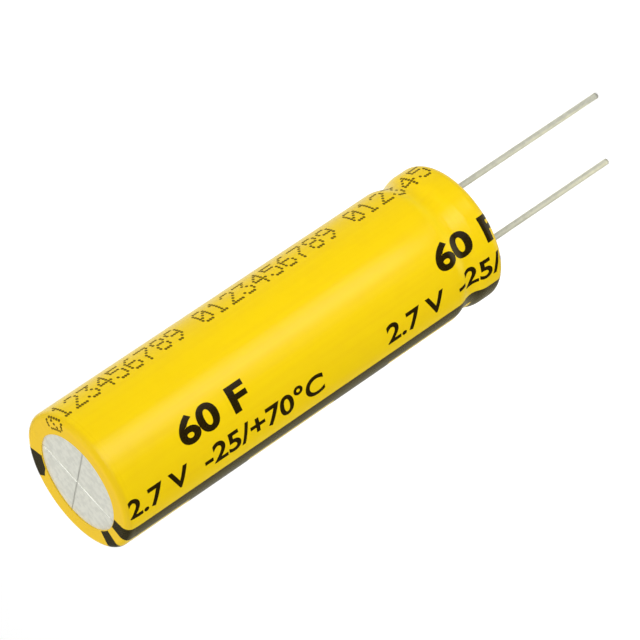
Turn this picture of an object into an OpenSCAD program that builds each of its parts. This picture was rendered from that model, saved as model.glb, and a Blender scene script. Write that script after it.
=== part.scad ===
// Radial supercapacitor: a sleeved aluminium can, closed by a rubber seal that carries two leads.
// Millimetres. The origin is the centre of the face that sits on the circuit board: the can stands
// up along +Z with its vented base on top, and the leads point down, positive on the +X side.

/* [Can] */
// Outside diameter of the can
can_d = 17.9; // [15:0.1:22]
// Length of the can, from the crest of its rim to its base
can_len = 59.6; // [48:0.1:80]
// Thickness of the can's wall
can_wall = 0.4; // [0.3:0.05:0.6]
// Thickness of the can's base
base_t = 0.5; // [0.4:0.05:0.8]
// Outside radius of the corner between base and wall
shoulder_r = 0.75; // [0.6:0.05:2]

/* [Rolled neck and curled rim] */
// Height of the middle of the neck over the crest of the rim
neck_height = 5.1; // [4.8:0.1:6.5]
// How far the neck is rolled into the wall
neck_depth = 1.1; // [0.6:0.05:1.3]
// Radius of the hollow of the neck
neck_r = 2.1; // [1.6:0.1:2.4]
// Radius that leads from the wall into the neck
neck_lip_r = 1.1; // [0.9:0.1:1.4]
// Outside radius of the curled rim
rim_r = 1.2; // [0.9:0.1:1.5]

/* [Vent] */
// Length of each scored line
vent_len = 12; // [6:0.1:12.6]
// Width of a scored line
vent_w = 0.25; // [0.2:0.05:0.6]
// Depth of a scored line
vent_depth = 0.1; // [0.08:0.02:0.3]
// Turn of the scored cross from +X
vent_turn = 21; // [0:1:90]

/* [End seal] */
// Thickness of the seal
seal_t = 7.9; // [7.2:0.1:10]
// How far the seal's face lies inside the crest of the rim
seal_recess = 0.5; // [0.2:0.05:0.8]
// Chamfer at the mouth of each lead hole
seal_mouth = 0.3; // [0.1:0.05:0.5]
// Rounding of the seal's inner edge
seal_edge_r = 0.6; // [0.3:0.1:1]

/* [Winding] */
// Room between the wound element and the can's wall
winding_room = 0.25; // [0.15:0.05:0.5]
// Hole that the winding mandrel leaves
mandrel_d = 3; // [2:0.1:4]
// Thickness of the closing tape
tape_t = 0.1; // [0.05:0.01:0.2]
// Bare stretch of the roll at each end of the tape
tape_margin = 3; // [2:0.5:8]

/* [Tabs and leads] */
// Distance between the leads
lead_pitch = 7.5; // [6.5:0.1:9]
// Diameter of a lead
lead_d = 0.8; // [0.6:0.05:1]
// Reach of the positive lead under the board face
positive_lead_len = 27; // [15:0.5:40]
// Reach of the negative lead under the board face
negative_lead_len = 23; // [12:0.5:36]
// Chamfer at the cut end of a lead
lead_tip = 0.12; // [0.05:0.01:0.2]
// Diameter of the stud in the seal
stud_d = 2.4; // [1.8:0.1:3]
// How far the stud's end lies inside the seal's face
stud_recess = 0.4; // [0.3:0.1:1.2]
// Length of the stud past the seal's inner face
stud_tail = 0.6; // [0.3:0.1:1.5]
// Length over which the stud is flattened
flatten_len = 1.8; // [1.2:0.1:3]
// Width of the paddle
paddle_w = 4; // [3.2:0.1:5]
// Thickness of the paddle
paddle_t = 0.4; // [0.3:0.05:0.6]
// Reach of the paddle into the roll
paddle_len = 25; // [12:0.5:30]
// Diameter of the weld at the root of a lead
weld_d = 1.3; // [1.1:0.1:1.6]
// Length of the weld
weld_len = 0.5; // [0.3:0.1:0.8]

/* [Sleeve] */
// Thickness of the shrunk film
film_t = 0.18; // [0.1:0.01:0.25]
// How far the film sinks into the neck, which it spans
film_dip = 0.48; // [0.3:0.02:0.6]
// Opening that the film leaves at the vented base
vent_open_d = 13.1; // [12.8:0.1:14]
// Opening that the film leaves at the lead end
seat_open_d = 14; // [13:0.1:14.6]

/* [Fits] */
// Room between pieces that touch
fit_gap = 0.02; // [0.01:0.01:0.05]

/* [Hidden] */
$fn = 96;

yellow_film = [0.98, 0.83, 0.07];
bare_aluminium = [0.80, 0.80, 0.78];
black_rubber = [0.13, 0.13, 0.13];
carbon_roll = [0.24, 0.24, 0.25];
amber_tape = [0.76, 0.55, 0.20];
tinned_wire = [0.72, 0.72, 0.68];

can_r = can_d / 2;
// Thickness that the sleeve adds to each face of the can
skin = film_t + fit_gap;
can_top = skin + can_len;
base_z = can_top - base_t;
inner_r = can_r - can_wall;
corner_r = shoulder_r - can_wall;

// The curled rim is half a ring of sheet about this point of the half section
curl_x = can_r - rim_r;
curl_z = skin + rim_r;
curl_bore_r = rim_r - can_wall;

// The neck joins three arcs: its hollow and a lip on either side, whose centres lie this far apart
neck_z = skin + neck_height;
neck_x = can_r + neck_r - neck_depth;
lip_x = can_r - neck_lip_r;
lip_reach = sqrt(pow(neck_r + neck_lip_r, 2) - pow(neck_x - lip_x, 2));
// The film bends over the same reach to its own depth, at one radius over the lips and in the hollow
film_bend = (pow(lip_reach, 2) + pow(film_dip, 2)) / (4 * film_dip);

seal_face = skin + seal_recess;
seal_top = seal_face + seal_t;
stud_face = seal_face + stud_recess;
stud_top = seal_top + stud_tail;

winding_z = stud_top + flatten_len;
winding_top = base_z - fit_gap;
tape_r = inner_r - winding_room;
winding_r = tape_r - tape_t - fit_gap;

// Half section of a body whose wall has the radius wall_r, less what its children cut away.
// It is closed at the heights foot and top, with rounded corners of the radii given (foot_r may be 0).
module half_body(wall_r, foot, foot_r, top, top_r) {
    difference() {
        union() {
            translate([0, foot + foot_r]) square([wall_r, top - top_r - foot - foot_r]);
            translate([0, top - top_r]) square([wall_r - top_r, top_r]);
            translate([wall_r - top_r, top - top_r]) quarter(top_r, 1);
            if (foot_r > 0) {
                translate([0, foot]) square([wall_r - foot_r, foot_r]);
                translate([wall_r - foot_r, foot + foot_r]) quarter(foot_r, -1);
            }
        }
        children();
    }
}

// Half section of a wall that lies `grow` outside the can's outer face, with the rolled neck.
// The neck's arcs keep their centres, so walls at different depths run parallel.
module necked_body(grow, foot, top, top_r) {
    half_body(can_r + grow, foot, 0, top, top_r)
        neck_cut(can_r + grow, neck_depth, neck_r - grow, neck_lip_r + grow);
}

// Half section of the film's outer face (grow is film_t) or of its inner face (grow is 0)
module film_body(grow) {
    out = fit_gap + grow;
    half_body(can_r + out, film_t - grow, rim_r + out, can_top + out, shoulder_r + out)
        neck_cut(can_r + out, film_dip, film_bend - grow, film_bend + grow);
}

// Quarter disc on the outer side of its centre, above it (side 1) or below it (side -1)
module quarter(r, side) {
    intersection() {
        circle(r);
        translate([0, side > 0 ? 0 : -r]) square(r);
    }
}

// What a neck takes away from a wall: a hollow between two lips, joined without a break
module neck_cut(wall_r, depth, hollow_r, lip_r) {
    hollow_x = wall_r + hollow_r - depth;
    lip_centre = wall_r - lip_r;
    share = lip_r / (hollow_r + lip_r);
    touch_x = lip_centre + (hollow_x - lip_centre) * share;
    touch_z = lip_reach * (1 - share);
    outside = wall_r + hollow_r;
    translate([0, neck_z]) difference() {
        union() {
            translate([hollow_x, 0]) circle(hollow_r);
            polygon([[outside, -lip_reach], [lip_centre, -lip_reach], [touch_x, -touch_z],
                     [touch_x, touch_z], [lip_centre, lip_reach], [outside, lip_reach]]);
        }
        for (side = [-1, 1]) translate([lip_centre, side * lip_reach]) circle(lip_r);
    }
}

// Half ring of sheet that turns from the can's wall, over the crest, back up into the seal
module half_curl() {
    translate([curl_x, curl_z]) intersection() {
        difference() {
            circle(rim_r);
            circle(curl_bore_r);
        }
        translate([-rim_r, -rim_r]) square([2 * rim_r, rim_r]);
    }
}

// One scored line: a V groove in the outer face of the base
module score() {
    rotate([90, 0, 90]) linear_extrude(vent_len, center = true)
        polygon([[-vent_w / 2, 0], [0, -vent_depth], [vent_w / 2, 0],
                 [vent_w / 2, base_t], [-vent_w / 2, base_t]]);
}

// Draws its children at the positive lead's place, or at the negative one's
module at_lead(side) {
    translate([side * lead_pitch / 2, 0, 0]) children();
}

// Shrunk film: it follows the can over shoulder and rim, spans the neck, and is open at both ends
module sleeve() {
    color(yellow_film) rotate_extrude() difference() {
        film_body(film_t);
        film_body(0);
        square([seat_open_d / 2, film_t]);
        translate([0, can_top]) square([vent_open_d / 2, skin]);
    }
}

// Drawn cup with the vent scored in its base, a rolled neck and a curled rim
module can() {
    color(bare_aluminium) difference() {
        rotate_extrude() {
            difference() {
                necked_body(0, curl_z, can_top, shoulder_r);
                necked_body(-can_wall, curl_z, base_z, corner_r);
            }
            half_curl();
        }
        for (turn = [0, 90]) translate([0, 0, can_top]) rotate(vent_turn + turn) score();
    }
}

// Rubber bung: waisted by the neck, filled out inside the curl, bored for the two studs
module end_seal() {
    lip_in = curl_x - rim_r - fit_gap;
    bead_r = curl_bore_r - fit_gap;
    shelf = curl_z + fit_gap;
    color(black_rubber) difference() {
        rotate_extrude() {
            necked_body(-can_wall - fit_gap, shelf, seal_top, seal_edge_r);
            translate([0, seal_face]) square([lip_in, shelf - seal_face]);
            translate([curl_x - bead_r, curl_z]) square([2 * bead_r, fit_gap]);
            translate([curl_x, curl_z]) intersection() {
                circle(bead_r);
                translate([-bead_r, -bead_r]) square([2 * bead_r, bead_r]);
            }
        }
        for (side = [-1, 1]) at_lead(side) {
            translate([0, 0, seal_face]) cylinder(h = seal_t, d = stud_d + 2 * fit_gap);
            translate([0, 0, seal_face])
                cylinder(h = seal_mouth, d1 = stud_d + 2 * (fit_gap + seal_mouth), d2 = stud_d + 2 * fit_gap);
        }
    }
}

// Roll of foils and separators, on the mandrel's hole, with a slot for each paddle
module wound_element() {
    color(carbon_roll) difference() {
        rotate_extrude() difference() {
            union() {
                translate([0, winding_z]) square([winding_r, winding_top - corner_r - winding_z]);
                translate([0, winding_top - corner_r]) square([winding_r - corner_r, corner_r]);
                translate([winding_r - corner_r, winding_top - corner_r]) quarter(corner_r, 1);
            }
            translate([0, winding_z]) square([mandrel_d / 2, winding_top - winding_z]);
        }
        for (side = [-1, 1]) at_lead(side) translate([0, 0, winding_z])
            linear_extrude(paddle_len + fit_gap)
                square([paddle_t + 2 * fit_gap, paddle_w + 2 * fit_gap], center = true);
    }
}

// Band of tape round the roll
module closing_tape() {
    tape_len = winding_top - winding_z - 2 * tape_margin;
    color(amber_tape) translate([0, 0, winding_z + tape_margin]) difference() {
        cylinder(h = tape_len, r = tape_r);
        cylinder(h = tape_len, r = tape_r - tape_t);
    }
}

// Aluminium terminal: a round stud in the seal, pressed flat to a paddle in the roll
module tab(side) {
    color(bare_aluminium) at_lead(side) {
        translate([0, 0, stud_face]) cylinder(h = stud_top - stud_face, d = stud_d);
        translate([0, 0, stud_top]) intersection() {
            cylinder(h = flatten_len, d1 = stud_d, d2 = paddle_w);
            rotate([90, 0, 0]) linear_extrude(paddle_w, center = true)
                polygon([[-stud_d / 2, 0], [stud_d / 2, 0],
                         [paddle_t / 2, flatten_len], [-paddle_t / 2, flatten_len]]);
        }
        translate([0, 0, winding_z]) linear_extrude(paddle_len) square([paddle_t, paddle_w], center = true);
    }
}

// Tinned wire, welded to the outer end of its stud
module lead(side, reach) {
    color(tinned_wire) at_lead(side) {
        translate([0, 0, stud_face - weld_len]) cylinder(h = weld_len, d1 = lead_d, d2 = weld_d);
        translate([0, 0, lead_tip - reach]) cylinder(h = reach - lead_tip + stud_face - weld_len, d = lead_d);
        translate([0, 0, -reach]) cylinder(h = lead_tip, d1 = lead_d - 2 * lead_tip, d2 = lead_d);
    }
}

module positive_tab() tab(1);
module negative_tab() tab(-1);
module positive_lead() lead(1, positive_lead_len);
module negative_lead() lead(-1, negative_lead_len);

sleeve();
can();
end_seal();
wound_element();
closing_tape();
positive_tab();
negative_tab();
positive_lead();
negative_lead();
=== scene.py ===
# %% [markdown]
# # A radial supercapacitor in its printed film
# The part is a can with two wires, and nearly all that anyone sees of it is a thin
# yellow film that was shrunk on. The imported CAD model gives the construction, in metres,
# and this lesson adds the looks: a film with a real wall, ink that lies on it, and metals.
# We load the frame first and keep its box.

# %% Load the frame and measure it
import math

import bmesh
import bpy
from mathutils import Matrix, Vector


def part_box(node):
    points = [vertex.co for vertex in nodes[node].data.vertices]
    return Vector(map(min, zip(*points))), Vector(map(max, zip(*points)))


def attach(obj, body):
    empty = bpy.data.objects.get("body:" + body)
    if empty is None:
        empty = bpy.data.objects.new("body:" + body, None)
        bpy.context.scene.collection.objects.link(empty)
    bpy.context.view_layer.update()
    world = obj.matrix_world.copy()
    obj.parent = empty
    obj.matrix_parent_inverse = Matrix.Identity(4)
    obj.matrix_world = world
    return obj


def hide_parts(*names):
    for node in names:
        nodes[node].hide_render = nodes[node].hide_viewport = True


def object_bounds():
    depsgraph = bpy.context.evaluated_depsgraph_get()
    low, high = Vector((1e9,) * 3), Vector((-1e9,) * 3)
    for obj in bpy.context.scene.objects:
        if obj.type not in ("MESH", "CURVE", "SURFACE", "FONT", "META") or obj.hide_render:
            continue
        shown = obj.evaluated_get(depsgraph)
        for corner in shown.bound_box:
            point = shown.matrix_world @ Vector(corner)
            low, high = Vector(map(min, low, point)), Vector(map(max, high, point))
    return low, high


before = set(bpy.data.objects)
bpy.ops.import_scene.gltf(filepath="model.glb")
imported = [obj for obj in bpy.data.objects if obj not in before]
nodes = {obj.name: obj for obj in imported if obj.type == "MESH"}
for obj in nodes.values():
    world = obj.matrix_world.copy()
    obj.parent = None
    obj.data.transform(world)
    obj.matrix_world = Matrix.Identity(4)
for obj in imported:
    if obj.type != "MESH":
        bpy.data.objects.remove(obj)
cad_low, cad_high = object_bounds()
MM = 0.001
sleeve_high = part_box("sleeve")[1]
film_radius = sleeve_high.x / MM
film_top = sleeve_high.z / MM
wire_tip = cad_low.z / MM
print(f"film radius {film_radius:.2f} mm, top {film_top:.2f} mm, longest wire {wire_tip:.2f} mm")

# %% [markdown]
# ## The camera
# The picture was taken from far away with a long lens, so the body hardly tapers, and
# the part lies aslant in it. In this frame the part stands upright on its wires, so the
# camera looks down at it and is rolled about its own axis until the can lies aslant.

# %% Place the camera
camera_place = Vector((-0.34, -492.7, 263.5)) * MM
camera_aim = Vector((-0.18, 0, 22.1)) * MM
camera_roll = math.radians(-124.03)
sensor_width, focal_length = 36, 258.2

bpy.ops.object.select_all(action="DESELECT")
bpy.ops.object.camera_add(location=camera_place)
camera = bpy.context.object
camera.name = "picture_camera"
camera.data.sensor_width = sensor_width
camera.data.lens = focal_length
aim = (camera_aim - camera_place).to_track_quat("-Z", "Y").to_matrix().to_4x4()
camera.matrix_world = (Matrix.Translation(camera_place) @ aim
                       @ Matrix.Rotation(camera_roll, 4, "Z"))
bpy.context.scene.camera = camera
print("camera is", round((camera_aim - camera_place).length / MM), "mm away")

# %% [markdown]
# ## Shader sums in Python
# A material is a graph of nodes, and a graph is slow to write node by node. `Value` wraps
# one socket and gives it the signs of arithmetic, so `1 - mask * 0.4` adds the Math nodes
# by itself. `Paint` owns a node tree and makes every other kind of node with one method,
# `node`. Its other methods are short names for the nodes that come back again and again.

# %% A socket that can be added and multiplied
class Value:
    def __init__(self, paint, socket):
        self.paint, self.socket = paint, socket

    def maths(self, operation, *others):
        return self.paint.node("ShaderNodeMath", {"operation": operation}, (self, *others))

    def __add__(self, other):
        return self.maths("ADD", other)

    def __sub__(self, other):
        return self.maths("SUBTRACT", other)

    def __rsub__(self, other):
        return self * -1 + other

    def __mul__(self, other):
        return self.maths("MULTIPLY", other)

    __radd__, __rmul__ = __add__, __mul__

    def over(self, least, most):
        """0 up to least, 1 from most, and a soft step between them."""
        return self.paint.node("ShaderNodeMapRange", {"interpolation_type": "SMOOTHSTEP"},
                               {"Value": self, "From Min": least, "From Max": most})


class Paint:
    def __init__(self, tree):
        self.tree = tree
        tree.nodes.clear()

    def node(self, kind, settings=None, sockets=(), output=0):
        made = self.tree.nodes.new(kind)
        for name, setting in (settings or {}).items():
            setattr(made, name, setting)
        fed = sockets.items() if isinstance(sockets, dict) else enumerate(sockets)
        for name, value in fed:
            if isinstance(value, Value):
                self.tree.links.new(value.socket, made.inputs[name])
            else:
                made.inputs[name].default_value = value
        return Value(self, made.outputs[output]) if made.outputs else None

    def mix(self, factor, first, second):
        return self.node("ShaderNodeMix", {"data_type": "RGBA"},
                         {0: factor, 6: first, 7: second}, output=2)

    def place(self, scale=(1, 1, 1)):
        """The piece's own coordinates in millimetres, stretched by scale."""
        where = self.node("ShaderNodeTexCoord", output="Object")
        return self.node("ShaderNodeMapping", {},
                         {"Vector": where, "Scale": [s / MM for s in scale]})

    def axis(self, vector, letter):
        """One number of a vector: X, Y or Z."""
        return self.node("ShaderNodeSeparateXYZ", {}, [vector], output=letter)

    def rays(self):
        """Masks for what the camera sees, what is mirrored and what shows through."""
        return [self.node("ShaderNodeLightPath", output=f"Is {kind} Ray")
                for kind in ("Camera", "Glossy", "Transmission")]

    def noise(self, scale, detail=2.0, stretch=(1, 1, 1)):
        """Cloudy noise; scale counts its lumps in a millimetre."""
        return self.node("ShaderNodeTexNoise", {},
                         {"Vector": self.place(stretch), "Scale": scale, "Detail": detail})

    def bump(self, height, depth):
        """Relief of a depth in millimetres."""
        return self.node("ShaderNodeBump", {},
                         {"Strength": 1.0, "Distance": depth * MM, "Height": height})

    def finish(self, shader, kind="ShaderNodeOutputMaterial"):
        self.node(kind, {}, {"Surface": shader})

    def coat(self, sockets):
        """Ends a material with one Principled shader."""
        self.finish(self.node("ShaderNodeBsdfPrincipled", {}, sockets))


def new_finish(name):
    """A new material and the paint that fills it."""
    material = bpy.data.materials.new(name)
    material.use_nodes = True
    return material, Paint(material.node_tree)


def wear(node_object, material):
    """Gives a CAD node or a piece one material."""
    node_object.data.materials.clear()
    node_object.data.materials.append(material)
    print(node_object.name, "wears", material.name, "of", len(material.node_tree.nodes), "nodes")


print("shader helpers are ready")

# %% [markdown]
# ## A plain white studio
# The floor is pale card. Lit like the can, it would render grey, and stronger lamps would
# bleach the yellow. Light Path says which rays come straight from the camera, so for those
# alone the card gets a little light of its own: it looks white and keeps the shadow.

# %% The floor as the camera sees it
floor_size = 6.0
white_lift = 0.42
bpy.ops.object.select_all(action="DESELECT")
bpy.ops.mesh.primitive_plane_add(size=floor_size, location=(0, 0, wire_tip * MM))
floor = bpy.context.object
floor.name = "studio_floor"
floor_material, paint = new_finish("white_floor")
seen, glossy, through = paint.rays()
speckle = paint.noise(0.02, detail=3) * 0.02 + 0.69
board = paint.node("ShaderNodeBsdfDiffuse", {}, {
    "Color": paint.node("ShaderNodeCombineColor", {}, [speckle, speckle, speckle])})
lift = paint.node("ShaderNodeEmission", {}, {
    "Color": (1, 1, 1, 1), "Strength": seen * white_lift + through * white_lift})
white_board = paint.node("ShaderNodeAddShader", {}, [board, lift])
print("floor at", round(floor.location.z / MM, 2), "mm")

# %% [markdown]
# Gloss needs something to mirror, and the same card can't be it: in front of the can a real
# table is dim, and this keeps the yellow deep, while both flanks of the can catch pale
# ground. `facing` is half the turn from the camera to a spot of floor, which is the angle
# on the can where the camera sees that spot mirrored, so the levels can be set by angle.
# A round white card under the wires brightens them, a short strip farther out draws the
# thin light on the rim, and all of it is a little warm, as ground beside a yellow can is.

# %% The floor as mirrors see it
card_centre, card_inner, card_outer = 20, 22, 40
spot = paint.place()
across, depth = paint.axis(spot, "X"), paint.axis(spot, "Y")
facing = across.maths("ARCTAN2", depth * -1) * math.degrees(0.5)
leftward = facing * -1
off_card = across * across + (depth + card_centre) * (depth + card_centre)
card = 1 - off_card.over(card_inner ** 2, card_outer ** 2)
far = across * across + depth * depth
strip_reach = far.over(46 ** 2, 54 ** 2) - far.over(63 ** 2, 70 ** 2)
strip = strip_reach * (facing.over(2, 6) - facing.over(11, 15))
warm_ground = paint.mix(facing.over(-30, 30), (1, 0.92, 0.59, 1), (1, 0.96, 0.80, 1))
left_level = leftward.over(46, 68) * 0.52 + leftward.over(74, 88) * 0.04
right_level = facing.over(25, 65) * 0.42 + facing.over(54, 80) * 0.42
card_level = card * ((facing.over(-62, -40) - facing.over(-14, 6)) * 0.82 + 0.16)
front_level = 0.025
mirrored = paint.node("ShaderNodeEmission", {}, {
    "Color": paint.mix(leftward.over(70, 84), warm_ground, (1, 0.99, 0.84, 1)),
    "Strength": left_level + right_level + card_level + strip * 1.1 + front_level})
paint.finish(paint.node("ShaderNodeMixShader", {}, [glossy, white_board, mirrored]))
wear(floor, floor_material)

# %% [markdown]
# The world is split in the same way. It fills the shadows evenly and is white to the
# camera, but in mirrors it is dim, and dimmest behind the camera.

# %% The world
world = bpy.data.worlds.new("white_studio")
bpy.context.scene.world = world
world.use_nodes = True
paint = Paint(world.node_tree)
seen, glossy, through = paint.rays()
fill_level, horizon_level, zenith_level = 0.77, 0.15, 0.25
front_share = 0.3
heading = paint.node("ShaderNodeTexCoord")
behind, height = paint.axis(heading, "Y"), paint.axis(heading, "Z")
mirrored = ((height.over(0.25, 0.95) * (zenith_level - horizon_level) + horizon_level)
            * (behind.over(-0.6, 0.5) * (1 - front_share) + front_share))
strength = (fill_level + (seen + through) * (1 - fill_level) + glossy * (mirrored - fill_level))
paint.finish(paint.node("ShaderNodeBackground", {}, {
    "Color": (1, 1, 1, 1), "Strength": strength}), "ShaderNodeOutputWorld")
print("world fill", fill_level)

# %% [markdown]
# Four upright boxes stand in front of the can, one inside the other. The camera sees them
# mirrored in the film, and where they overlap their light adds up: that is the pale band
# along the body, crisp at one edge and fading at the other. The low, front, top, left and
# right boxes only fill, so mirrors don't show them, and the back box draws the far edge.
# The scored cross needs a lamp to glint in, but on the film's shoulder that lamp would
# glare, so the glint box is linked to the bare metal alone. It hangs just below the top
# box, because two lamps in one place hide each other.

# %% The soft boxes
def softbox(name, place, aim, size, radiance, mirrored=True):
    """A flat lamp; its watts are its radiance times its area times pi."""
    width, height = size
    bpy.ops.object.light_add(type="AREA", location=Vector(place) * MM)
    lamp = bpy.context.object
    lamp.name = name
    lamp.data.shape = "RECTANGLE"
    lamp.data.size, lamp.data.size_y = width * MM, height * MM
    lamp.data.energy = radiance * math.pi * width * height * MM * MM
    lamp.rotation_euler = (Vector(aim) - Vector(place)).to_track_quat("-Z", "Y").to_euler()
    lamp.visible_camera = False
    lamp.visible_glossy = mirrored
    print(name, round(lamp.data.energy, 4), "W")
    return lamp


band_levels = [(-22, 37, 0.26), (-8, 33, 0.32), (-2, 26, 0.45), (3, 19, 0.50)]
band_middle, band_height, band_distance = 30.3, 99, 67
for step, (left, right, level) in enumerate(band_levels):
    x, y = (left + right) / 2, step - band_distance
    softbox(f"band_box.{step + 1}", (x, y, band_middle), (x, 0, band_middle),
            (right - left, band_height), level)
softbox("low_box", (5, -70, -18), (0, 0, 15), (70, 40), 0.42, mirrored=False)
softbox("front_box", (35, -130, 95), (0, 0, 48), (90, 60), 0.45, mirrored=False)
softbox("top_box", (97, -28, 288), (0, 0, 60), (110, 110), 3.2, mirrored=False)
glint = softbox("glint_box", (96, -27.7, 285.5), (0, 0, 60), (110, 110), 3.2)
glint.visible_diffuse = False
bare_metal = bpy.data.collections.new("bare_metal")
for name in ("can", "positive_lead", "negative_lead"):
    bare_metal.objects.link(nodes[name])
glint.light_linking.receiver_collection = bare_metal
softbox("left_box", (-150, 87, 100), (0, 0, 30), (110, 130), 1.9, mirrored=False)
softbox("right_box", (122, 122, 100), (0, 0, 30), (110, 130), 1.3, mirrored=False)
softbox("back_box", (0, 90, 21), (0, 0, 21), (34, 88), 1.1)
bpy.context.scene.view_settings.view_transform = "Standard"

# %% [markdown]
# ## The shrunk film
# The film is a printed tube, shrunk by heat until it follows the can: round the shoulder
# at the vent end, down the wall, into the rolled neck and round the rim. It could be
# carved from a cylinder, but a film is a sheet, so we draw its outline once, spin that
# round the axis and let Solidify give it a wall. The outline is kept as a list of stops
# with the distance along the film, because the ink will need that distance too.

# %% The sizes and curves of the outline
sleeve_wall, ink_wall = 0.18, 0.010
film_wall = sleeve_wall - ink_wall
shoulder_radius, rim_radius = 0.95, 1.4
vent_opening, seat_opening = 6.55, 7.0
neck_height, neck_reach, neck_dip = 5.3, 2.4145, 0.48
neck_bend = (neck_reach ** 2 + neck_dip ** 2) / (4 * neck_dip)
hollow_radius, lip_radius = neck_bend - sleeve_wall, neck_bend + sleeve_wall
hollow_centre, lip_centre = film_radius + hollow_radius - neck_dip, film_radius - lip_radius
neck_angle = math.degrees(math.atan2(neck_reach, hollow_centre - lip_centre))


def bow(centre_r, centre_z, radius, start, stop, steps, side=1):
    """Points and normals of an arc in degrees; side -1 is a hollow."""
    for step in range(steps + 1):
        turn = math.radians(start + (stop - start) * step / steps)
        c, s = math.cos(turn), math.sin(turn)
        yield centre_r + radius * c, centre_z + radius * s, c * side, s * side


def straight(start, stop, normal, steps):
    """Points and normals of a straight run."""
    for step in range(steps + 1):
        share = step / steps
        yield (start[0] + (stop[0] - start[0]) * share,
               start[1] + (stop[1] - start[1]) * share, *normal)


print(f"the neck turns by {neck_angle:.2f} degrees on a bend of {neck_bend:.2f} mm")

# %% The outline from the vent to the wires
shoulder_r, shoulder_z = film_radius - shoulder_radius, film_top - shoulder_radius
rim_r, rim_z = film_radius - rim_radius, rim_radius
lip_top, lip_foot = neck_height + neck_reach, neck_height - neck_reach
ring_end = shoulder_z - 1.4
outline = [
    *straight((vent_opening, film_top), (shoulder_r, film_top), (0, 1), 9),
    *bow(shoulder_r, shoulder_z, shoulder_radius, 90, 0, 18),
    *straight((film_radius, shoulder_z), (film_radius, ring_end), (1, 0), 14),
    *straight((film_radius, ring_end), (film_radius, lip_top), (1, 0), 26),
    *bow(lip_centre, lip_top, lip_radius, 0, -neck_angle, 10),
    *bow(hollow_centre, neck_height, hollow_radius, 180 - neck_angle, 180 + neck_angle, 24, -1),
    *bow(lip_centre, lip_foot, lip_radius, neck_angle, 0, 10),
    *straight((film_radius, lip_foot), (film_radius, rim_z), (1, 0), 2),
    *bow(rim_r, rim_z, rim_radius, 0, -90, 16),
    *straight((rim_r, 0), (seat_opening, 0), (0, -1), 4),
]

same_place = 1e-6
film_run = []
for r, z, out_r, out_z in outline:
    spot = (r - out_r * ink_wall, z - out_z * ink_wall, out_r, out_z)
    if not film_run:
        film_run.append((0.0, *spot))
        continue
    gap = math.hypot(spot[0] - film_run[-1][1], spot[1] - film_run[-1][2])
    if gap > same_place:
        film_run.append((film_run[-1][0] + gap, *spot))
wall_start = next(row[0] for row in film_run if abs(row[2] - shoulder_z) < same_place)
film_run = [(row[0] - wall_start + shoulder_radius, *row[1:]) for row in film_run]
print(len(film_run), "stops, film runs from", round(film_run[0][0], 2), "to",
      round(film_run[-1][0], 2), "mm past the vent plane")

# %% [markdown]
# Heat leaves small marks: a faint ring below the shoulder, shallow puckers on both
# turned-in lips and over the neck. `relief` says how far the film stands out or sinks at a
# place, and film and ink both ask it, so the ink never floats. The film also crept while it
# shrank, so its opening at the vent sits a little off centre: `on_film` draws the lip and
# all that is printed near it to one side.

# %% Marks that the heat left
ring_depth, vent_depth, seat_depth, neck_depth = 0.020, 0.009, 0.010, 0.006
lip_drift = (-0.07, -0.39)
drift_end, drift_reach = 1.9, 2.4


def hump(value, middle, width):
    return math.exp(-((value - middle) / width) ** 2)


def relief(along, angle):
    """Millimetres out of the plain outline at a distance along the film and an angle."""
    ring = -ring_depth * hump(along, 1.45, 0.22) * (0.7 - 0.3 * math.sin(angle))
    vent_pucker = vent_depth * hump(along, -0.9, 0.6) * (
        math.sin(17 * angle + 0.4) + 0.7 * math.sin(29 * angle + 2.1)
        + 0.6 * math.sin(11 * angle + 1.3))
    seat_pucker = seat_depth * hump(along, 60.6, 0.7) * (
        math.sin(19 * angle + 1.1) + 0.6 * math.sin(31 * angle))
    neck_pucker = (neck_depth * hump(along, 54.9, 1.3)
                   * math.sin(9 * angle + 0.9) * math.sin(4 * angle))
    return ring - abs(vent_pucker) - abs(seat_pucker) + neck_pucker


def film_stop(along):
    """The outline's point and normal at a distance along the film."""
    for before, after in zip(film_run, film_run[1:]):
        if along <= after[0]:
            break
    share = (along - before[0]) / (after[0] - before[0])
    return [a + (b - a) * share for a, b in zip(before[1:], after[1:])]


def on_film(along, angle, lift=0.0):
    """A place on the film in metres."""
    rise = relief(along, angle) + lift
    drawn = min(max((drift_end - along) / drift_reach, 0), 1)
    drawn *= drawn * (3 - 2 * drawn)
    c, s = math.cos(angle), math.sin(angle)
    along += drawn * (lip_drift[0] * c + lip_drift[1] * s)
    r, z, out_r, out_z = film_stop(along)
    angle += drawn * (lip_drift[1] * c - lip_drift[0] * s) / r
    r, z = r + out_r * rise, z + out_z * rise
    return Vector((r * math.cos(angle), r * math.sin(angle), z)) * MM


print("relief on the vent lip", [round(relief(-0.7, a), 4) for a in (0, 1, 2, 3)])

# %% [markdown]
# One corner of a small plane is enough to start from: merged to a single point, it is
# extruded from stop to stop, and the finished line is spun round. The spin's first and
# last line meet, so doubles are merged before the normals are turned outwards.

# %% Spin the film
def only(*pieces):
    """Leaves edit mode and selects these pieces alone, with the first one active."""
    if bpy.context.mode != "OBJECT":
        bpy.ops.object.mode_set(mode="OBJECT")
    bpy.ops.object.select_all(action="DESELECT")
    for piece in pieces:
        piece.select_set(True)
    if pieces:
        bpy.context.view_layer.objects.active = pieces[0]


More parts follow.
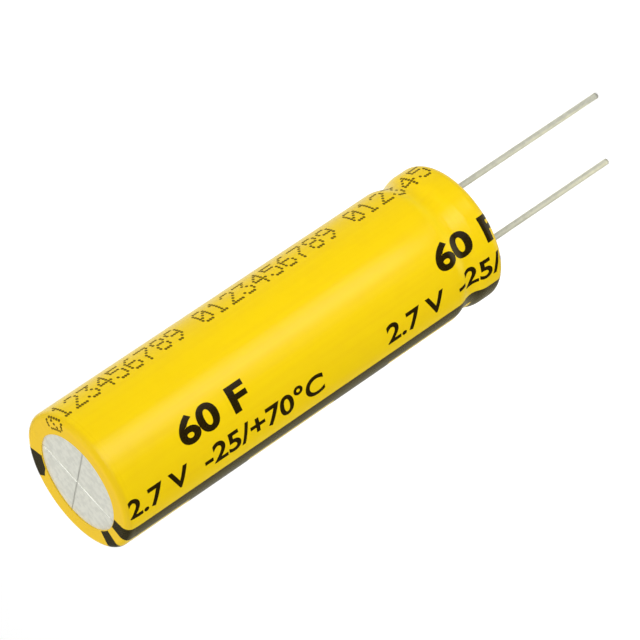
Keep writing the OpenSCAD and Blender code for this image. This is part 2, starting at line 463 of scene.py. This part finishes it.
spin_steps = 288
merge_reach = 1e-7
only()
bpy.ops.mesh.primitive_plane_add(size=MM, location=(0, 0, 0))
film = bpy.context.object
film.name = "printed_film"
bpy.ops.object.mode_set(mode="EDIT")
bpy.ops.mesh.select_all(action="SELECT")
bpy.ops.mesh.merge(type="CENTER")
before = Vector((0, 0, 0))
for stop, (along, r, z, out_r, out_z) in enumerate(film_run):
    here = Vector((r, 0, z)) * MM
    if stop == 0:
        bpy.ops.transform.translate(value=here)
    else:
        bpy.ops.mesh.extrude_region_move(TRANSFORM_OT_translate={"value": here - before})
    before = here
bpy.ops.mesh.select_all(action="SELECT")
bpy.ops.mesh.spin(steps=spin_steps, angle=math.tau, center=(0, 0, 0), axis=(0, 0, 1))
bpy.ops.mesh.select_all(action="SELECT")
bpy.ops.mesh.remove_doubles(threshold=merge_reach)
bpy.ops.mesh.normals_make_consistent(inside=False)
bpy.ops.object.mode_set(mode="OBJECT")
print("film has", len(film.data.vertices), "points before it gets its wall")

# %% [markdown]
# Now every point is moved to where `on_film` puts it. A knife cut the lip at the vent, so
# its edge also waves a little. Solidify then adds the inner face, and the film takes the
# place of the plain sleeve in the frame.

# %% Press the marks in and give the film its wall
def apply_all(piece):
    bpy.context.view_layer.objects.active = piece
    for modifier in list(piece.modifiers):
        bpy.ops.object.modifier_apply(modifier=modifier.name)


slow_wave, quick_wave, edge_reach = 0.0035, 0.002, 0.01
film_crease = math.radians(50)
along_at = {(round(r, 3), round(z, 3)): along for along, r, z, *_ in film_run}
missed = 0
for vertex in film.data.vertices:
    r, z = math.hypot(vertex.co.x, vertex.co.y) / MM, vertex.co.z / MM
    along = along_at.get((round(r, 3), round(z, 3)))
    if along is None:
        along = min(film_run, key=lambda row: math.hypot(row[1] - r, row[2] - z))[0]
        missed += 1
    angle = math.atan2(vertex.co.y, vertex.co.x)
    vertex.co = on_film(along, angle)
    if along < film_run[0][0] + edge_reach:
        vertex.co.xy *= (1 + slow_wave * math.sin(3 * angle + 1)
                         + quick_wave * math.sin(8 * angle))
wall = film.modifiers.new("wall", "SOLIDIFY")
wall.thickness = film_wall * MM
wall.offset = -1
wall.use_even_offset = True
apply_all(film)
only(film)
bpy.ops.object.shade_smooth_by_angle(angle=film_crease)
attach(film, "root")
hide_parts("sleeve")
print("film has", len(film.data.polygons), "faces;", missed, "points looked up by nearness")

# %% [markdown]
# ## The film's finish
# The real film is coloured plastic with a calm gloss, a slight orange peel from shrinking
# and faint lines along the tube from when it was drawn. A flat yellow would look like
# paint, so the colour drifts a little and the gloss varies with the same lines. Over the
# shoulder the yellow is darker, which is painted shade, and the film is a little rougher
# there. The two turned-in lips are paler and more orange because metal and rubber show
# through. On the neck's upper flank, which faces down, the yellow is paler: painted light
# that lifts the shade there. Height alone says where each of these begins.

# %% Yellow film
def film_relief(paint):
    """Orange peel and draw lines, the same under bare film and under ink."""
    peel = paint.noise(0.42, detail=2.5)
    lines = paint.noise(1.0, detail=2, stretch=(1.5, 1.5, 0.045))
    return peel, lines, paint.bump(peel + lines * 0.35, 0.018)


plastic_ior = 1.5
clear_yellow = (0.955, 0.668, 0.0008, 1)
deep_yellow = (0.900, 0.590, 0.0006, 1)
# painted shade: a darker yellow for the film over the shoulder
shoulder_shade_yellow = (0.845, 0.560, 0.0006, 1)
lip_orange = (0.935, 0.605, 0.0205, 1)
# painted light: a paler yellow for the neck's upper flank, which faces down
neck_light_yellow = (0.985, 0.720, 0.0040, 1)
film_material, paint = new_finish("yellow_film")
peel, lines, bumped = film_relief(paint)
height = paint.axis(paint.place(), "Z")
shoulder_shade_and_matt, vent_lip = height.over(58.90, 59.50), height.over(59.78, 60.02)
seat_lip = 1 - height.over(0.1, 1.2)
painted_light_neck = height.over(5.4, 6.3) - height.over(6.6, 7.5)
colour = paint.mix(lines.over(0.35, 0.75) * 0.30 + peel.over(0.4, 0.8) * 0.22,
                   clear_yellow, deep_yellow)
# painted shade: the shoulder's yellow is darkened; the same band is also a little rougher
colour = paint.mix(shoulder_shade_and_matt * 0.9, colour, shoulder_shade_yellow)
colour = paint.mix(vent_lip + seat_lip * 0.8, colour, lip_orange)
# painted light: the neck's down-facing flank is made paler to lift its shade
colour = paint.mix(painted_light_neck * 0.65, colour, neck_light_yellow)
paint.coat({
    "Base Color": colour,
    "Roughness": peel * 0.05 + lines * 0.05 + shoulder_shade_and_matt * 0.06 + 0.12,
    "IOR": plastic_ior,
    "Specular IOR Level": 0.45,
    "Normal": bumped,
})
wear(film, film_material)

# %% [markdown]
# ## Ink on the film
# The film is printed flat, before it is shrunk, and that is the easy way here too. Each
# print is a flat sheet in millimetres: x runs along the film from the vent to the wires
# and y round it. It is cut at the film's own stops and every two degrees, so that it can
# bend, then wrapped by `on_film` and thickened to a real layer of ink. The layer reaches
# a hair into the film, so no gap can show under its edge.

# %% Cut, wrap and thicken a print
cut_angle = math.radians(2.0)
cut_slack = 0.01
print_merge = 1e-4
ink_proud, ink_layer = ink_wall * 0.9, ink_wall * 1.1
ink_crease = math.radians(30)


def cut_flat(places, normal):
    """Bisects the flat print in edit mode at each place along a normal."""
    for place in places:
        bpy.ops.mesh.select_all(action="SELECT")
        bpy.ops.mesh.bisect(plane_co=Vector(normal) * place, plane_no=normal)


def face_outwards(piece):
    """Turns a wrapped sheet's faces away from the axis."""
    bpy.ops.object.mode_set(mode="EDIT")
    bpy.ops.mesh.select_all(action="SELECT")
    bpy.ops.mesh.normals_make_consistent(inside=False)
    bpy.ops.object.mode_set(mode="OBJECT")
    inward = sum(p.area for p in piece.data.polygons
                 if p.normal.dot(Vector((p.center.x, p.center.y, 0))) < -1e-9)
    outward = sum(p.area for p in piece.data.polygons) - inward
    if inward > outward:
        piece.data.flip_normals()


def wrap_print(piece, angle, ink):
    """Bends a flat print in millimetres round the film, from a baseline angle in degrees."""
    only(piece)
    spread = [v.co for v in piece.data.vertices]
    x_low, x_high = min(c.x for c in spread), max(c.x for c in spread)
    y_low, y_high = min(c.y for c in spread), max(c.y for c in spread)
    bpy.ops.object.mode_set(mode="EDIT")
    cut_flat([row[0] for row in film_run if x_low < row[0] < x_high], (1, 0, 0))
    pitch = cut_angle * film_radius
    rows = range(math.ceil(y_low / pitch + cut_slack), math.ceil(y_high / pitch - cut_slack))
    cut_flat([row * pitch for row in rows], (0, 1, 0))
    bpy.ops.mesh.select_all(action="SELECT")
    bpy.ops.mesh.remove_doubles(threshold=print_merge)
    bpy.ops.object.mode_set(mode="OBJECT")
    baseline = math.radians(angle)
    for vertex in piece.data.vertices:
        vertex.co = on_film(vertex.co.x, baseline + vertex.co.y / film_radius, ink_proud)
    face_outwards(piece)
    layer = piece.modifiers.new("ink", "SOLIDIFY")
    layer.thickness = ink_layer * MM
    layer.offset = -1
    apply_all(piece)
    bpy.ops.object.shade_smooth_by_angle(angle=ink_crease)
    wear(piece, ink)
    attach(piece, "root")
    print(piece.name, "has", len(piece.data.polygons), "faces")


def flat_patch(name, x_low, x_high, y_low, y_high):
    """A flat rectangle of ink in millimetres, with its place in its mesh."""
    only()
    bpy.ops.mesh.primitive_plane_add(size=1, location=(0, 0, 0))
    patch = bpy.context.object
    patch.name = name
    bpy.ops.object.mode_set(mode="EDIT")
    bpy.ops.transform.resize(value=(x_high - x_low, y_high - y_low, 1),
                             center_override=(0, 0, 0))
    bpy.ops.transform.translate(value=((x_low + x_high) / 2, (y_low + y_high) / 2, 0))
    return patch


print(f"ink stands {ink_proud:.3f} mm proud of the film")

# %% [markdown]
# Three inks are used. The ratings are pressed on in a dense, glossy black, the band is a
# wider field of a thinner and duller black, and the sprayed row is a brown that soaks in.
# All three follow the film's own relief, with a fine grain where the cover is uneven.

# %% Three inks
def ink_finish(name, dark, pale, roughness, gloss):
    material, paint = new_finish(name)
    peel, lines, bumped = film_relief(paint)
    grain = paint.noise(9.0, detail=3)
    paint.coat({
        "Base Color": paint.mix(grain.over(0.35, 0.75) * 0.6 + lines.over(0.5, 0.9) * 0.3,
                                dark, pale),
        "Roughness": peel * 0.05 + grain * 0.06 + roughness,
        "IOR": plastic_ior,
        "Specular IOR Level": gloss,
        "Normal": bumped,
    })
    print(name, "is mixed")
    return material


pressed_ink = ink_finish("pressed_black_ink", dark=(0.017, 0.010, 0.0006, 1),
                         pale=(0.040, 0.025, 0.001, 1), roughness=0.14, gloss=0.42)
band_ink = ink_finish("band_black_ink", dark=(0.022, 0.016, 0.0005, 1),
                      pale=(0.046, 0.035, 0.001, 1), roughness=0.22, gloss=0.34)
sprayed_ink = ink_finish("sprayed_brown_ink", dark=(0.140, 0.088, 0.001, 1),
                         pale=(0.220, 0.142, 0.002, 1), roughness=0.45, gloss=0.06)

# %% [markdown]
# ## The polarity band
# A black ladder runs down the side of the negative wire, with long open windows, so that
# the polarity shows from any side. It is one rectangle: cut across at the ends of the
# windows and along at their sides, and the faces inside the windows are deleted.

# %% The ladder
ladder_middle = 183.3
rail_inner, rail_outer = 7.5, 23.5
windows = [(-9.0, 10.2), (19.4, 32.8), (41.5, 55.4)]
edge_gap = 0.04
film_start, film_end = film_run[0][0] + edge_gap, film_run[-1][0] - edge_gap


def arc(degrees):
    """Millimetres round the film for an angle."""
    return math.radians(degrees) * film_radius


def delete_inside(piece, boxes):
    """Deletes the faces whose middles lie in the boxes, in edit mode."""
    shape = bmesh.from_edit_mesh(piece.data)
    bpy.ops.mesh.select_all(action="DESELECT")
    bpy.ops.mesh.select_mode(type="FACE")
    for face in shape.faces:
        middle = face.calc_center_median()
        face.select_set(any(x0 < middle.x < x1 and y0 < middle.y < y1
                            for x0, x1, y0, y1 in boxes))
    bmesh.update_edit_mesh(piece.data)
    bpy.ops.mesh.delete(type="FACE")


ladder = flat_patch("polarity_ladder", film_start, film_end, -arc(rail_outer), arc(rail_outer))
cut_flat([x for pair in windows for x in pair if film_start < x < film_end], (1, 0, 0))
cut_flat([-arc(rail_inner), arc(rail_inner)], (0, 1, 0))
delete_inside(ladder, [(x0, x1, -arc(rail_inner), arc(rail_inner)) for x0, x1 in windows])
wrap_print(ladder, ladder_middle, band_ink)

# %% [markdown]
# On the other side a short bar starts at the vent lip, a mark of the printing press where
# one length of film ends. It is a plain bar with one corner cut: a line is cut across it,
# and the corner beyond that line is pushed in.

# %% The short bar at the lip
bar_start, bar_width, bar_end = 41.4, 26.8, 3.4
corner_at, corner_cut, corner_slack = -1.2, 10.0, 0.1
bar = flat_patch("lip_bar", film_start, bar_end, 0, arc(bar_width))
cut_flat([corner_at], (1, 0, 0))
shape = bmesh.from_edit_mesh(bar.data)
bpy.ops.mesh.select_all(action="DESELECT")
bpy.ops.mesh.select_mode(type="VERT")
for vertex in shape.verts:
    vertex.select_set(vertex.co.x < corner_at - corner_slack and vertex.co.y > corner_slack)
bmesh.update_edit_mesh(bar.data)
bpy.ops.transform.translate(value=(0, -arc(corner_cut), 0))
wrap_print(bar, bar_start, band_ink)

# %% [markdown]
# ## Ratings
# Two lines of plain ratings, the value in bold and its limits in a lighter hand, repeat
# along the film as on any roll of printed tube. Text is typed, made a mesh, brought to
# its height and length, trimmed where the film ends, and wrapped like the rest.

# %% Type a rating and wrap it
curve_steps = 6
rating_repeat = 40.3


def rating(name, words, start, long, tall, baseline, boldness):
    only()
    bpy.ops.object.text_add(location=(0, 0, 0))
    piece = bpy.context.object
    piece.name = name
    piece.data.body = words
    piece.data.size = tall
    piece.data.offset = boldness
    piece.data.resolution_u = curve_steps
    bpy.ops.object.convert(target="MESH")
    piece = bpy.context.object
    xs = [v.co.x for v in piece.data.vertices]
    ys = [v.co.y for v in piece.data.vertices]
    left, foot = min(xs), min(ys)
    stretch = (long / (max(xs) - left), tall / (max(ys) - foot))
    for vertex in piece.data.vertices:
        vertex.co.x = start + (vertex.co.x - left) * stretch[0]
        vertex.co.y = (vertex.co.y - foot) * stretch[1]
    bpy.ops.object.mode_set(mode="EDIT")
    bpy.ops.mesh.select_all(action="SELECT")
    bpy.ops.mesh.remove_doubles(threshold=print_merge)
    bpy.ops.mesh.select_all(action="SELECT")
    bpy.ops.mesh.bisect(plane_co=(film_end, 0, 0), plane_no=(1, 0, 0), clear_outer=True)
    wrap_print(piece, baseline, pressed_ink)


for copy, shift in enumerate((0.0, rating_repeat)):
    rating(f"rating_bold.{copy + 1}", "60 F", start=10.2 + shift, long=10.4, tall=3.55,
           baseline=245.0, boldness=0.13)
    rating(f"rating_plain.{copy + 1}", "2.7 V  -25/+70°C", start=0.5 + shift, long=30.2,
           tall=3.0, baseline=217.4, boldness=0.07)

# %% [markdown]
# ## The sprayed row
# A row of digits is sprayed on in dots, right to the end of the film, and it only counts
# from 0 to 9, over and over. One dot is modelled and copied into a five by seven pattern
# for each digit, and the digits are set out in a row. Each dot is a small oval, because
# the film moves under the jet.

# %% Dots to digits
dot_shapes = {
    "0": "01110 10001 10011 10101 11001 10001 01110",
    "1": "00100 01100 00100 00100 00100 00100 01110",
    "2": "01110 10001 00001 00010 00100 01000 11111",
    "3": "11111 00010 00100 00010 00001 10001 01110",
    "4": "00010 00110 01010 10010 11111 00010 00010",
    "5": "11111 10000 11110 00001 00001 10001 01110",
    "6": "00110 01000 10000 11110 10001 10001 01110",
    "7": "11111 00001 00010 00100 01000 01000 01000",
    "8": "01110 10001 10001 01110 10001 10001 01110",
    "9": "01110 10001 10001 01111 00001 00010 01100",
}
dot_columns, dot_rows, dot_corners = 5, 7, 8
dot_pitch = (0.365, 0.53)
dot_size = (0.180, 0.250)


def sprayed_digit(digit, start):
    """One digit as flat dots, with its place in its mesh."""
    only()
    bpy.ops.mesh.primitive_circle_add(vertices=dot_corners, radius=1, fill_type="NGON",
                                      location=(0, 0, 0))
    piece = bpy.context.object
    bpy.ops.object.mode_set(mode="EDIT")
    bpy.ops.transform.rotate(value=math.pi / dot_corners, orient_axis="Z",
                             center_override=(0, 0, 0))
    bpy.ops.transform.resize(value=(*dot_size, 1), center_override=(0, 0, 0))
    spots = [(start + column * dot_pitch[0], (dot_rows - 1 - row) * dot_pitch[1])
             for row, line in enumerate(dot_shapes[digit].split())
             for column, mark in enumerate(line) if mark == "1"]
    bpy.ops.transform.translate(value=(*spots[0], 0))
    for last, spot in zip(spots, spots[1:]):
        step = (spot[0] - last[0], spot[1] - last[1], 0)
        bpy.ops.mesh.duplicate_move(TRANSFORM_OT_translate={"value": step})
    bpy.ops.object.mode_set(mode="OBJECT")
    return piece


print("dots for", len(dot_shapes), "digits")

# %% Digits to a row
cell_count, cell_pitch = 28, 2.17
row_start, row_angle = -1.30, 320.6
count_length = len(dot_shapes) + 1
row_pieces = []
for cell in range(cell_count):
    start = row_start + cell * cell_pitch
    digit = str(cell % count_length)
    if digit in dot_shapes and start + dot_columns * dot_pitch[0] < film_end:
        row_pieces.append(sprayed_digit(digit, start))
only(*row_pieces)
bpy.ops.object.join()
count_row = bpy.context.object
count_row.name = "sprayed_row"
wrap_print(count_row, row_angle, sprayed_ink)

# %% [markdown]
# ## Bare metal at the vent
# The end of the can shows in the film's opening: rolled aluminium with a scored cross that
# gives way if the pressure rises. The CAD solid already has the cross, so it keeps its
# shape and gets a satin finish: fine rolling lines one way, a soft mottling and cloudy
# handling marks. The punch that scores the cross burnishes the metal, so the lines are
# smoother than the satin round them and show bright or dark by what they mirror. Their
# colour is also darker, which is painted shade in the grooves. Dull patches break the
# shine up along each line.

# %% Satin aluminium
score_turn, score_width = 21, 0.25
bright_satin, worn_satin = (1.0, 1.0, 0.880, 1), (0.838, 0.843, 0.742, 1)
# painted shade: this darker grey colours the score lines like shade in their grooves
score_shade_grey = (0.75, 0.755, 0.67, 1)
can_material, paint = new_finish("satin_aluminium")
rolled = paint.noise(3.2, detail=3, stretch=(1.0, 0.06, 0.3))
cloud = paint.noise(0.55, detail=4)
grit = paint.noise(9.0, detail=2)
mottle = paint.noise(1.3, detail=5)
dull = paint.noise(0.7, detail=3).over(0.46, 0.60)
turned = paint.node("ShaderNodeMapping", {}, {
    "Vector": paint.place(), "Rotation": (0, 0, math.radians(-score_turn))})
off_line = [paint.axis(turned, letter).maths("ABSOLUTE") for letter in "XY"]
nearest = off_line[0].maths("MINIMUM", off_line[1])
scored = 1 - nearest.over(score_width * 0.36, score_width * 0.70)
worn = (mottle.over(0.41, 0.60) * 0.6 + cloud.over(0.40, 0.65) * 0.2
        + rolled.over(0.35, 0.75) * 0.2)
satin = paint.mix(worn, bright_satin, worn_satin)
paint.coat({
    # painted shade in the score grooves comes from this mix
    "Base Color": paint.mix(scored * 0.70, satin, score_shade_grey),
    "Metallic": scored * 0.20 + 0.36,
    "Roughness": cloud * 0.14 + grit * 0.10 + 0.36 - scored * 0.055 + scored * dull * 0.09,
    "Normal": paint.bump(rolled * 0.7 + grit * 0.6, 0.008),
})
wear(nodes["can"], can_material)

# %% [markdown]
# ## Tinned wires
# The wires are dipped in tin: dull, slightly lumpy, with fine lines from drawing. They are
# cut to length after the dip, and their ends are darker: bare metal at the cut, and also
# painted shade and dark reflection at the tips. The two wires differ in length, so the side
# of the axis says how far down the cut is.

# %% The wires
bright_tin, grey_tin = (0.88, 0.885, 0.755, 1), (0.76, 0.765, 0.655, 1)
# painted shade: a darker grey for the wire tips, for bare cut metal and the shade and dark
# reflection there
tip_shade_grey = (0.30, 0.30, 0.27, 1)
wires = ("positive_lead", "negative_lead")
long_tip, short_tip = (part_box(name)[0].z / MM for name in wires)
wire_material, paint = new_finish("dull_tin")
drawn = paint.noise(5.0, detail=3, stretch=(1.6, 1.6, 0.05))
lumps = paint.noise(1.2, detail=3)
spot = paint.place()
side, height = paint.axis(spot, "X"), paint.axis(spot, "Z")
above_cut = height - (side.over(-1, 1) * (long_tip - short_tip) + short_tip)
tinned = paint.mix(lumps.over(0.35, 0.7) * 0.7 + drawn * 0.3, bright_tin, grey_tin)
paint.coat({
    # painted shade and bare metal at the tips come from this mix
    "Base Color": paint.mix((1 - above_cut.over(0.05, 0.45)) * 0.75, tinned, tip_shade_grey),
    "Metallic": 0.42,
    "Roughness": lumps * 0.18 + drawn * 0.08 + 0.30,
    "Normal": paint.bump(lumps + drawn * 0.4, 0.02),
})
for name in wires:
    wear(nodes[name], wire_material)

# %% [markdown]
# ## Rubber and what the can holds
# The plug is matt black rubber with a moulded bloom. The winding, its tape and the tabs
# are out of sight, and get the finish they would show if the can were opened: dark and
# pale layers on edge, amber tape that was wiped down, and foil brushed one way.

# %% The rubber plug
rubber_black, bloom_grey = (0.012, 0.012, 0.013, 1), (0.030, 0.029, 0.028, 1)
rubber_material, paint = new_finish("black_rubber")
bloom = paint.noise(0.5, detail=4)
pores = paint.noise(7.0, detail=3)
paint.coat({
    "Base Color": paint.mix(bloom.over(0.35, 0.75), rubber_black, bloom_grey),
    "Roughness": pores * 0.15 + bloom * 0.10 + 0.55,
    "Specular IOR Level": 0.4,
    "Normal": paint.bump(pores, 0.02),
})
wear(nodes["end_seal"], rubber_material)

# %% The winding, its tape and the tabs
carbon, paper = (0.030, 0.030, 0.032, 1), (0.55, 0.54, 0.50, 1)
winding_material, paint = new_finish("wound_layers")
turns = paint.noise(2.0, detail=3, stretch=(1.0, 1.0, 0.02))
paint.coat({
    "Base Color": paint.mix(turns.over(0.35, 0.65), carbon, paper),
    "Roughness": turns * 0.2 + 0.6,
    "Normal": paint.bump(turns, 0.03),
})
wear(nodes["wound_element"], winding_material)

light_amber, dark_amber = (0.50, 0.24, 0.030, 1), (0.38, 0.17, 0.020, 1)
tape_material, paint = new_finish("amber_tape")
wipe = paint.noise(0.8, detail=3, stretch=(1.0, 1.0, 0.2))
paint.coat({
    "Base Color": paint.mix(wipe.over(0.3, 0.7), light_amber, dark_amber),
    "Roughness": wipe * 0.15 + 0.22,
    "Normal": paint.bump(wipe, 0.01),
})
wear(nodes["closing_tape"], tape_material)

bright_foil, brushed_foil = (0.80, 0.80, 0.79, 1), (0.68, 0.68, 0.67, 1)
tab_material, paint = new_finish("bright_foil")
stroke = paint.noise(4.0, detail=3, stretch=(1.0, 1.0, 0.06))
paint.coat({
    "Base Color": paint.mix(stroke, bright_foil, brushed_foil),
    "Metallic": 1.0,
    "Roughness": stroke * 0.2 + 0.25,
    "Normal": paint.bump(stroke, 0.01),
})
for name in ("positive_tab", "negative_tab"):
    wear(nodes[name], tab_material)

# %% [markdown]
# ## The box of the solids
# The film and its ink have to stay in the box of the solids, so that box is printed here.

# %% Print the box of the solids
print("cad box", [round(v / MM, 3) for v in (*cad_low, *cad_high)])
